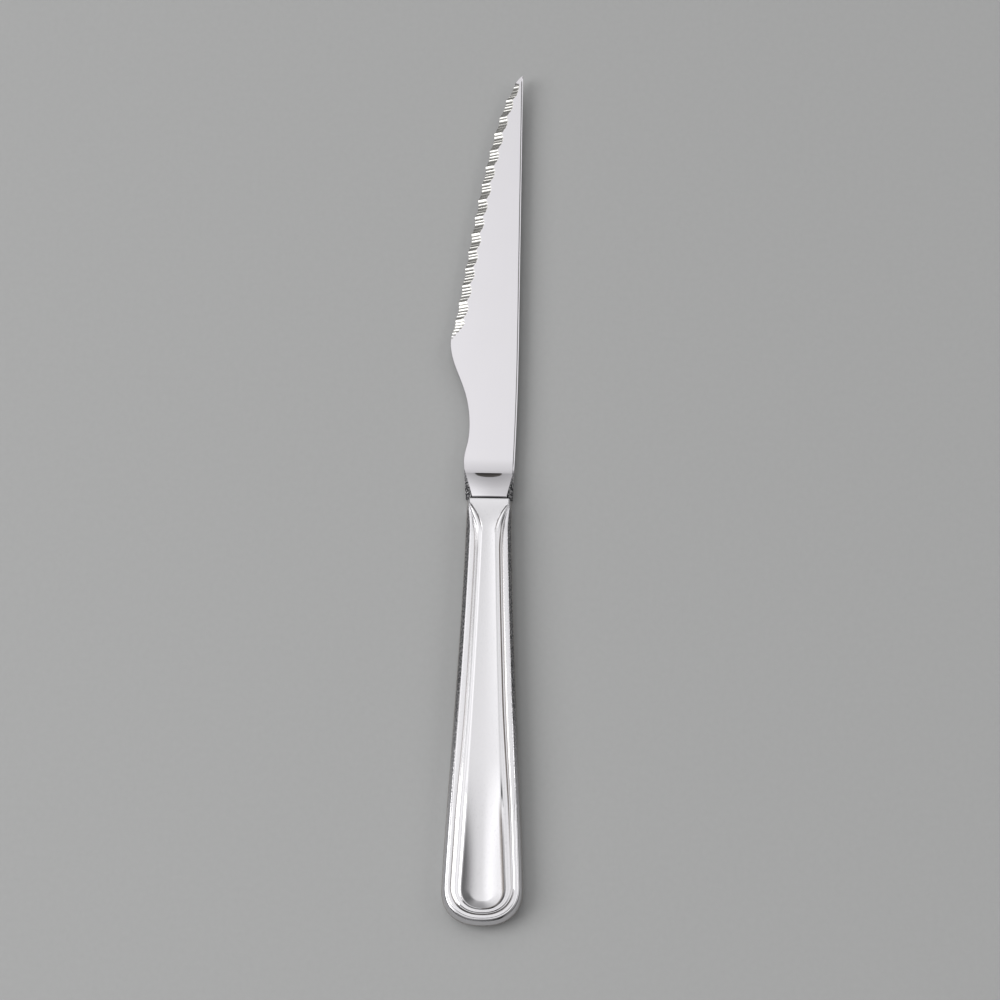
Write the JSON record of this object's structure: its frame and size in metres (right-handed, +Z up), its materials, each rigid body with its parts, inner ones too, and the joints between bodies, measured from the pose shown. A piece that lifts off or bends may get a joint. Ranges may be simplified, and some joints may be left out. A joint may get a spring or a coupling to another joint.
{
  "type": "steak knife",
  "caption": "Pointed serrated steak knife with a forged bolster and a hollow steel handle, tapered, with a threaded rim round a dished panel, lying on its side.",
  "frame": {"origin": "on the surface that the knife lies on, under the middle of its length and width", "axes": "+Y from the butt of the handle to the tip of the blade, +X from the cutting edge to the spine, +Z up"},
  "size_m": [0.021, 0.2306, 0.0066],
  "materials": {
    "blade_steel": "bright polished stainless steel",
    "handle_steel": "polished stainless steel with fine wear scratches",
    "braze": "ground braze, slightly rough",
    "cement": "set handle cement"
  },
  "bodies": {
    "root": {"blade": "blade_steel", "handle_front_shell": "handle_steel", "handle_back_shell": "handle_steel", "seam_braze": "braze", "tang_cement": "cement"}
  },
  "joints": []
}
